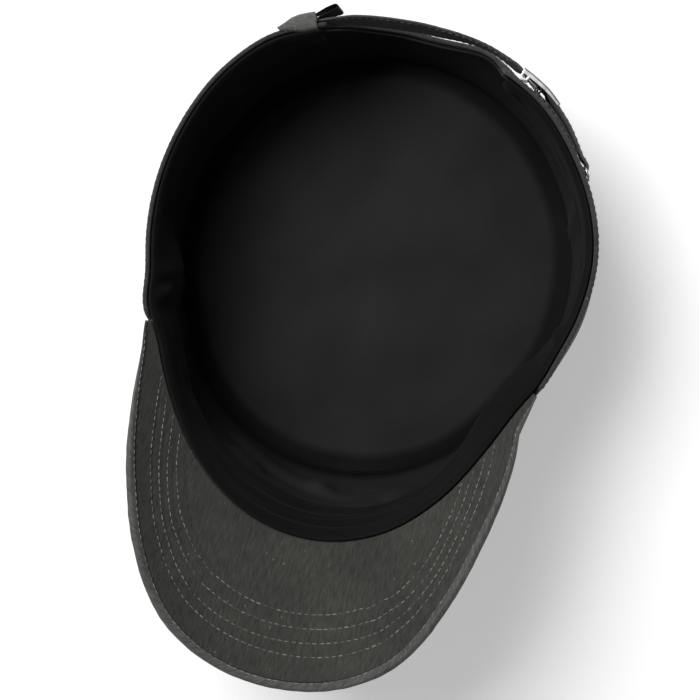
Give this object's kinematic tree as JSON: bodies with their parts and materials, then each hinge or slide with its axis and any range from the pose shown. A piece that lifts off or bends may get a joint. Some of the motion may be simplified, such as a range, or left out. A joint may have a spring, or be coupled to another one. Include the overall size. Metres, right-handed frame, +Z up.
{
  "type": "military cap",
  "caption": "Flat-topped cloth military cap with a curved stitched peak, dark lining, sweatband and a rear strap with a metal buckle, lying on its crown",
  "frame": {"origin": "the middle of the flat crown top, on the surface that the cap lies on", "axes": "+Z up out of the open hollow, from the crown top to the rim; -Y towards the peak; +X to the wearer's right"},
  "size_m": [0.1743, 0.2587, 0.1174],
  "materials": {
    "twill": "washed olive-grey cotton twill",
    "lining": "plain near-black lining",
    "sweat_cloth": "soft black sweatband cloth",
    "steel": "satin plated steel",
    "ribbon": "folded woven ribbon, bare"
  },
  "bodies": {
    "root": {"top_panel": "twill", "side_wall": "twill", "top_lining": "lining", "wall_lining": "lining", "sweatband": "sweat_cloth", "peak_under_cover": "twill", "peak_upper_cover": "twill", "peak_binding": "twill", "strap": "twill", "buckle_tab": "twill", "buckle_frame": "steel", "buckle_lever": "steel", "eyelet": "steel", "side_tag": "ribbon"}
  },
  "joints": []
}
